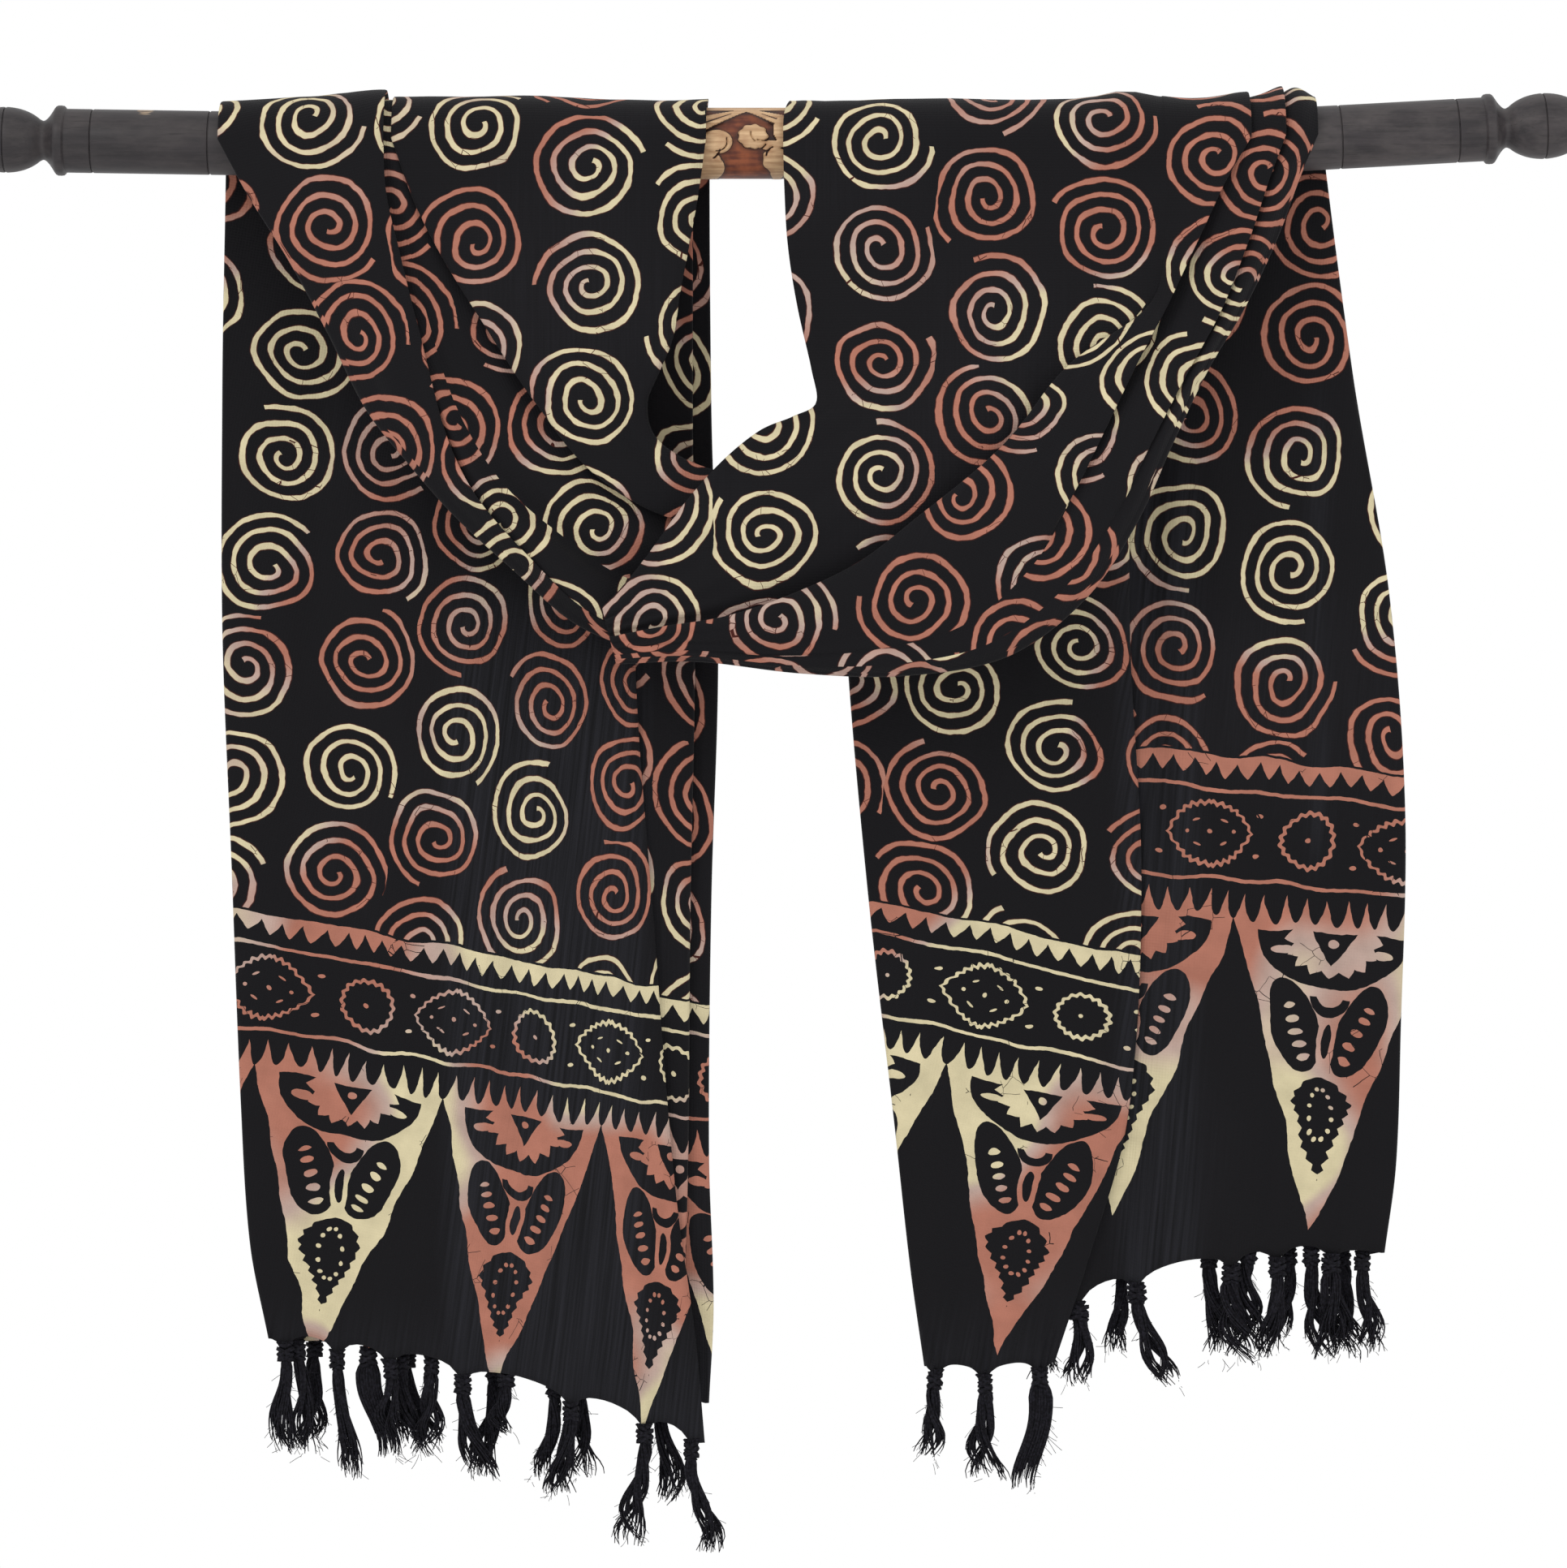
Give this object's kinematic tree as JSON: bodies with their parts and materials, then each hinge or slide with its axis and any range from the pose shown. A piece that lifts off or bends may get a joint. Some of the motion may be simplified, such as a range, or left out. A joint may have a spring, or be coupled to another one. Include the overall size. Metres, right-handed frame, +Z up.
{
  "type": "batik sarong draped on a turned wooden rod",
  "caption": "Black batik sarong with spirals, end borders and knotted fringe, folded lengthwise and draped as a swag over a turned, part-carved wooden rod.",
  "frame": {"origin": "on the rod's axis, at the left edge of the right half of the swag, where the rod is held", "axes": "+X along the rod to the viewer's right, +Y away from the viewer, +Z up"},
  "size_m": [0.7031, 0.0792, 0.6345],
  "materials": {
    "batik_cloth": "plain woven rayon, wax-resist dyed black with cream and terracotta lines",
    "fringe_yarn": "knotted and frayed black yarn",
    "stained_wood": "dark charcoal stain, satin",
    "carved_wood": "carved relief, waxed"
  },
  "bodies": {
    "root": {"rod_bar": "carved_wood", "rod_left_end": "stained_wood", "rod_right_end": "stained_wood", "swag_left": "batik_cloth", "swag_right": "batik_cloth", "tail_left": "batik_cloth", "tail_right": "batik_cloth", "tassel_left_01": "fringe_yarn", "tassel_left_02": "fringe_yarn", "tassel_left_03": "fringe_yarn", "tassel_left_04": "fringe_yarn", "tassel_left_05": "fringe_yarn", "tassel_left_06": "fringe_yarn", "tassel_left_07": "fringe_yarn", "tassel_left_08": "fringe_yarn", "tassel_left_09": "fringe_yarn", "tassel_left_10": "fringe_yarn", "tassel_left_11": "fringe_yarn", "tassel_left_12": "fringe_yarn", "tassel_left_13": "fringe_yarn", "tassel_left_14": "fringe_yarn", "tassel_left_15": "fringe_yarn", "tassel_left_16": "fringe_yarn", "tassel_left_17": "fringe_yarn", "tassel_left_18": "fringe_yarn", "tassel_right_01": "fringe_yarn", "tassel_right_02": "fringe_yarn", "tassel_right_03": "fringe_yarn", "tassel_right_04": "fringe_yarn", "tassel_right_05": "fringe_yarn", "tassel_right_06": "fringe_yarn", "tassel_right_07": "fringe_yarn", "tassel_right_08": "fringe_yarn", "tassel_right_09": "fringe_yarn", "tassel_right_10": "fringe_yarn", "tassel_right_11": "fringe_yarn", "tassel_right_12": "fringe_yarn", "tassel_right_13": "fringe_yarn", "tassel_right_14": "fringe_yarn", "tassel_right_15": "fringe_yarn", "tassel_right_16": "fringe_yarn"}
  },
  "joints": []
}
